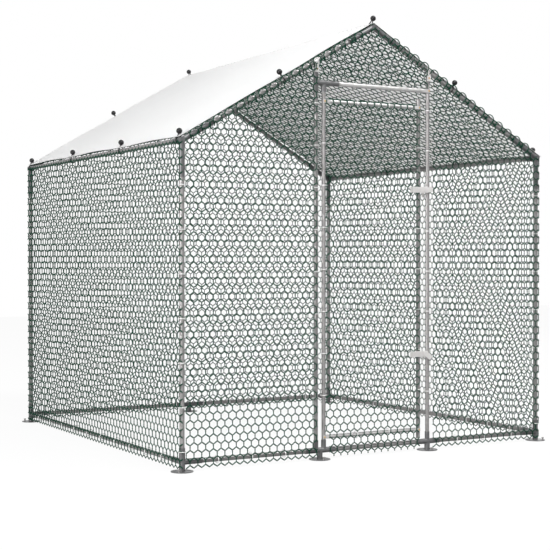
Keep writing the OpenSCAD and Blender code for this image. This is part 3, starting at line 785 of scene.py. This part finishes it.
def shapeSheet(sheet, crest, leftReach, rightReach, deep):
    off = cover["offset"]
    power = cover["edgePower"]
    mark = cover["rakeMark"]
    points = readPoints(sheet)
    reach = np.where(points[:, 0] < 0, leftReach, rightReach)
    slide = points[:, 0] * reach
    y = points[:, 1] * deep
    eavePull = drawIn(y, eaveBallYs) * (np.abs(slide) / reach) ** power
    rakeMarks = [-leftReach, -leftReach * mark, 0, rightReach * mark, rightReach]
    rakePull = drawIn(slide, rakeMarks) * (np.abs(y) / deep) ** power
    slide = slide * (1 - cover["bow"] / reach * eavePull)
    y = y * (1 - cover["bow"] / deep * rakePull)
    lift = cover["lift"] * (eavePull + rakePull)
    lift += cover["ripple"] * sum(np.sin(a * y + b * slide) for a, b in cover["waves"])
    turn = np.clip(np.abs(slide), 0, crest) / off
    past = np.maximum(np.abs(slide) - crest, 0)
    radius = off + np.maximum(lift, -cover["sag"])
    x = np.sign(slide) * (radius * np.sin(turn) + past * cosP)
    z = ridgeZ + radius * np.cos(turn) - past * sinP
    writePoints(sheet, np.column_stack([x, y, z]))


def copyBorder(sheet):
    pick(sheet)
    bpy.ops.object.mode_set(mode="EDIT")
    bpy.ops.mesh.select_mode(type="FACE")
    bpy.ops.mesh.select_all(action="SELECT")
    bpy.ops.mesh.normals_make_consistent(inside=False)
    bpy.ops.mesh.region_to_loop()
    bpy.ops.mesh.select_mode(type="VERT")
    bpy.ops.mesh.select_more()
    bpy.ops.mesh.select_mode(type="FACE")
    bpy.ops.mesh.duplicate()
    bpy.ops.mesh.separate(type="SELECTED")
    bpy.ops.object.mode_set(mode="OBJECT")
    return [piece for piece in bpy.context.selected_objects if piece != sheet][0]


def thicken(piece, thick, offset):
    wall = piece.modifiers.new("wall", "SOLIDIFY")
    wall.thickness = thick
    wall.offset = offset
    applyAll(piece)


def makeCover():
    crest = cover["offset"] * pitch
    leftReach = crest + slopeLen + cover["leftLap"]
    rightReach = crest + slopeLen + cover["rightLap"]
    wide = leftReach + rightReach
    deep = halfDepth + cover["rakeLap"]
    clearSelection()
    bpy.ops.mesh.primitive_grid_add(x_subdivisions=cover["stepsAcross"], y_subdivisions=cover["stepsAlong"],
                                    size=2, calc_uvs=True)
    sheet = bpy.context.object
    shapeSheet(sheet, crest, leftReach, rightReach, deep)
    for mark in sheet.data.uv_layers[0].data:
        u, v = mark.uv
        mark.uv = (u * wide, v * 2 * deep)
    hem = copyBorder(sheet)

    thicken(sheet, cover["thick"], 0)
    finishPiece(sheet, "roofCoverSheet", "cover_cloth", "frame", "sheet", ["roof_cover"])
    sheet.data.materials.append(looks["coverUnderShade"])
    # faces pointing down take the darker underside copy, painted shade
    for face in sheet.data.polygons:
        face.material_index = 1 if face.normal.z < cover["underZ"] else 0

    points = readPoints(hem)
    lifted = cover["thick"] / 2
    points[:, 0] += np.sign(points[:, 0]) * lifted * sinP
    points[:, 2] += lifted * cosP
    writePoints(hem, points)
    thicken(hem, cover["hemThick"], 1)
    finishPiece(hem, "roofCoverHem", "cover_cloth", "frame", "sheet")
    print("cover made, flat", round(2 * deep, 3), "by", round(wide, 3))


makeCover()


# Bungees: balls on elastic loops

def spinProfile(profile, steps):
    mesh = bpy.data.meshes.new("profile")
    mesh.from_pydata([(r, 0, z) for r, z in profile], [(i, i + 1) for i in range(len(profile) - 1)], [])
    piece = linked("profile", mesh)
    pick(piece)
    bpy.ops.object.mode_set(mode="EDIT")
    bpy.ops.mesh.select_all(action="SELECT")
    bpy.ops.mesh.spin(steps=steps, angle=2 * math.pi, center=(0, 0, 0), axis=(0, 0, 1), use_auto_merge=True)
    bpy.ops.mesh.select_all(action="SELECT")
    bpy.ops.mesh.remove_doubles(threshold=0.00001)
    bpy.ops.mesh.normals_make_consistent(inside=False)
    bpy.ops.object.mode_set(mode="OBJECT")
    return piece


def ballProfile():
    r = bungee["ball"]
    steps = bungee["ballSteps"]
    low = math.asin(bungee["mouth"] / r)
    floor = -r * math.cos(low) + bungee["mouthDeep"]
    profile = [(0, floor), (bungee["mouth"] * bungee["mouthFloor"], floor)]
    for i in range(steps):
        angle = math.pi - low - (math.pi - low) * i / steps
        bulge = bungee["seam"] if abs(angle - math.pi / 2) < bungee["seamHalf"] else 0
        profile.append(((r + bulge) * math.sin(angle), (r + bulge) * math.cos(angle)))
    return profile + [(0, r)]


def ringOf(held):
    return held + bungee["gap"] + bungee["cord"]


def ballPlace(place, held, lean):
    low = ringOf(held) + bungee["cord"] / 2
    tilt = math.atan2(lean, bungee["rise"] - low)
    reach = math.hypot(lean, bungee["rise"] - low)
    turned = Matrix.Rotation(tilt, 4, "Y") @ Matrix.Translation((0, 0, reach))
    return place @ Matrix.Translation((0, 0, low)) @ turned


def cordPath(held, lean):
    ring = ringOf(held)
    half = bungee["cord"] * bungee["legs"]
    drop = bungee["ball"] - bungee["sink"]
    slant = math.atan2(lean, bungee["rise"] - ring)
    top = (lean - drop * math.sin(slant), bungee["rise"] - drop * math.cos(slant))
    steps = bungee["loopSteps"]
    path = [(top[0], -half, top[1])]
    for step in range(steps + 1):
        turn = math.radians(bungee["loopStart"] + bungee["loopTurn"] * step / steps)
        path.append((0, ring * math.cos(turn), ring * math.sin(turn)))
    return path + [(top[0], half, top[1])]


def makeBungees():
    places = bungeePlaces()
    ball = spinProfile(ballProfile(), bungee["spinSteps"])
    balls = scatter(ball, [ballPlace(*place) for place in places])
    finishPiece(balls, "bungeeBallSet", "ball_plastic", "frame", "ball", ["bungee_balls"])
    cords = []
    for place, held, lean in places:
        cord = tubeAlong([cordPath(held, lean)], bungee["cord"], bungee["cordSides"])
        cords.append(scatter(cord, [place]))
    joinAll(cords)
    finishPiece(cords[0], "bungeeCordSet", "elastic", "frame", "wire", ["bungee_loops"])
    print("bungees made:", len(places))


makeBungees()


# Eyelets: one in the cover at every bungee

eyelet = {
    "ring": 0.0070,
    "wire": 0.0020,
    "flat": 0.5,
    "ringSteps": 28,
    "wireSteps": 10,
    "inset": 0.008,         # of those along the rafters, from the rafters' axes
}


def eyeletPlaces():
    off = cover["offset"] + cover["thick"]
    places = []
    for slope in (leftRoof, rightRoof):
        places += [slope @ Matrix.Translation((y, off * math.tan(pitch), off)) for y in eaveBallYs]
    for slope, y, v in rakeSpots:
        places.append(slope @ Matrix.Translation((y - math.copysign(eyelet["inset"], y), v, off)))
    places += [Matrix.Translation((0, way * cornerY, ridgeZ + off)) for way in (-1, 1)]
    return places


def makeEyelets():
    clearSelection()
    bpy.ops.mesh.primitive_torus_add(major_radius=eyelet["ring"], minor_radius=eyelet["wire"],
                                     major_segments=eyelet["ringSteps"], minor_segments=eyelet["wireSteps"])
    ring = bpy.context.object
    ring.scale = (1, 1, eyelet["flat"])
    bpy.ops.object.transform_apply(scale=True)
    places = eyeletPlaces()
    finishPiece(scatter(ring, places), "coverEyelets", "pale_zinc", "frame", "wire")
    print("eyelets made:", len(places))


makeEyelets()


# Wire ties that hold the nets to the tubes

tie = {
    "wire": 0.0016,
    "sides": 4,
    "ringSteps": 14,
    "slack": 0.0072,        # out to the net's far side
    "every": 0.2,
    "low": 0.05,            # height above the base rails at which the posts' rows begin
    "tail": 0.009,
    "tailSteps": 5,
    "tailLean": 0.4,        # outwards, part of the tail's length
    "tailSway": 0.0006,
    "latchRoom": 0.06,      # left free above and below the latches' pins
}


def tiePiece(radius):
    reach = radius + tie["slack"]
    steps = tie["tailSteps"]
    clearSelection()
    bpy.ops.mesh.primitive_torus_add(major_radius=reach, minor_radius=tie["wire"],
                                     major_segments=tie["ringSteps"], minor_segments=tie["sides"])
    ring = bpy.context.object
    twist = []
    for step in range(steps + 1):
        down = tie["tail"] * step / steps
        twist.append((reach + down * tie["tailLean"], tie["tailSway"] * math.cos(math.pi * step), -down))
    joinAll([ring, tubeAlong([twist], tie["wire"], tie["sides"])])
    return ring


def tieRow(start, end, inward):
    start, end, inward = Vector(start), Vector(end), Vector(inward)
    way = (end - start).normalized()
    count = int((end - start).length / tie["every"])
    step = (end - start).length / (count + 1)
    return [axes(inward, way.cross(inward), way, start + way * step * (i + 1)) for i in range(count)]


def frameTieRows(low):
    rows = []
    for x in (-halfWidth, halfWidth):
        for y in (-halfDepth, halfDepth):
            rows += tieRow((x, y, low - tie["every"]), (x, y, eaveZ), (0, -math.copysign(1, y), 0))
        rows += tieRow((x, -halfDepth, baseZ), (x, halfDepth, baseZ), (-math.copysign(1, x), 0, 0))
    rows += tieRow((-halfWidth, halfDepth, baseZ), (halfWidth, halfDepth, baseZ), (0, -1, 0))
    rows += tieRow((-halfWidth, -halfDepth, baseZ), (hingePostX, -halfDepth, baseZ), (0, 1, 0))
    rows += tieRow((latchPostX, -halfDepth, baseZ), (halfWidth, -halfDepth, baseZ), (0, 1, 0))
    return rows


def doorwayTieRows(low):
    rows = []
    for x in (hingePostX, latchPostX):
        rows += tieRow((x, -halfDepth, low), (x, -halfDepth, rafterZ(x)), (0, 1, 0))
    latchZs = [middle(pin).z for pin in ("upper_latch_pin", "lower_latch_pin")]
    return [row for row in rows if row.translation.x < 0
            or min(abs(row.translation.z - z) for z in latchZs) > tie["latchRoom"]]


def doorTieRows():
    rows = []
    for x in (hingeX, latchX):
        rows += tieRow((x, -halfDepth, doorLowZ), (x, -halfDepth, doorTopZ), (0, 1, 0))
    for z in (doorLowZ, doorTopZ):
        rows += tieRow((hingeX, -halfDepth, z), (latchX, -halfDepth, z), (0, 1, 0))
    return rows


def makeTies():
    low = baseZ + tie["low"]
    for name, body, radius, rows in (
        ("netTies", "frame", tubeR, frameTieRows(low)),
        ("doorwayTies", "frame", doorR, doorwayTieRows(low)),
        ("doorTies", "door", doorR, doorTieRows()),
    ):
        finishPiece(scatter(tiePiece(radius), rows), name, "pale_zinc", body, "wire", (), "tie")
        print(name, "made:", len(rows))


makeTies()


# Studio

studio = {
    "floor": 14.0,          # half its size
    "floorDrop": 0.0005,
    "floorShade": 0.25,
    "floorRough": 0.9,
    "glow": 1.17,
    "seen": 0.8,            # how much of the floor's look is plain white
    "world": 0.13,          # strength as light from around, while seen rays get 1
    "lamps": {              # power, size, place and aim
        "key": (560, (0.9, 4.5), (-7.7, -3.3, 1.9), (0, -0.5, 1.0)),
        "front": (860, (8.0, 1.2), (1.0, -4.2, 7.7), (1.0, -0.6, 1.0)),
        "fill": (120, (3.0, 3.0), (7.0, 5.0, 5.0), (0, 0, 1.0)),
    },
}


def areaLamp(name, power, size, place, aim):
    data = bpy.data.lights.new(name, "AREA")
    data.energy = power
    data.shape = "RECTANGLE"
    data.size, data.size_y = size
    lamp = linked(name, data)
    lamp.location = place
    lamp.rotation_euler = (Vector(aim) - Vector(place)).to_track_quat("-Z", "Y").to_euler()


# 1 for rays from the camera, also by way of a mirror or glass, and 0 for light
def seenRays(tree):
    rays = tree.nodes.new("ShaderNodeLightPath").outputs
    straight, mirrored, through = [Socket(tree, rays[f"Is {kind} Ray"])
                                   for kind in ("Camera", "Glossy", "Transmission")]
    return (straight + mirrored + through).calc("MINIMUM", 1)


def floorMaterial():
    material = bpy.data.materials.new("paleFloor")
    material.use_nodes = True
    tree = material.node_tree
    shader = tree.nodes["Principled BSDF"]
    shader.inputs["Base Color"].default_value = (*[studio["floorShade"]] * 3, 1)
    shader.inputs["Roughness"].default_value = studio["floorRough"]
    seen = seenRays(tree) * studio["seen"]
    glow = seen.node("ShaderNodeEmission", {}, {"Strength": studio["glow"]})
    mixed = seen.node("ShaderNodeMixShader", {}, {0: seen, 1: Socket(tree, shader.outputs[0]), 2: glow})
    tree.links.new(mixed.output, tree.nodes["Material Output"].inputs[0])
    return material


def makeStudio():
    clearSelection()
    bpy.ops.mesh.primitive_grid_add(x_subdivisions=2, y_subdivisions=2, size=2 * studio["floor"],
                                    location=(0, 0, -studio["floorDrop"]))
    floor = bpy.context.object
    floor.name = "floor"
    floor.data.materials.append(floorMaterial())

    world = bpy.data.worlds.new("studio")
    world.use_nodes = True
    bpy.context.scene.world = world
    tree = world.node_tree
    back = tree.nodes["Background"]
    back.inputs["Color"].default_value = (1, 1, 1, 1)
    strength = seenRays(tree) * (1 - studio["world"]) + studio["world"]
    tree.links.new(strength.output, back.inputs["Strength"])

    for name, lamp in studio["lamps"].items():
        areaLamp(name, *lamp)
    bpy.context.scene.view_settings.view_transform = "Standard"
    print("studio made:", len(studio["lamps"]), "lamps")


makeStudio()
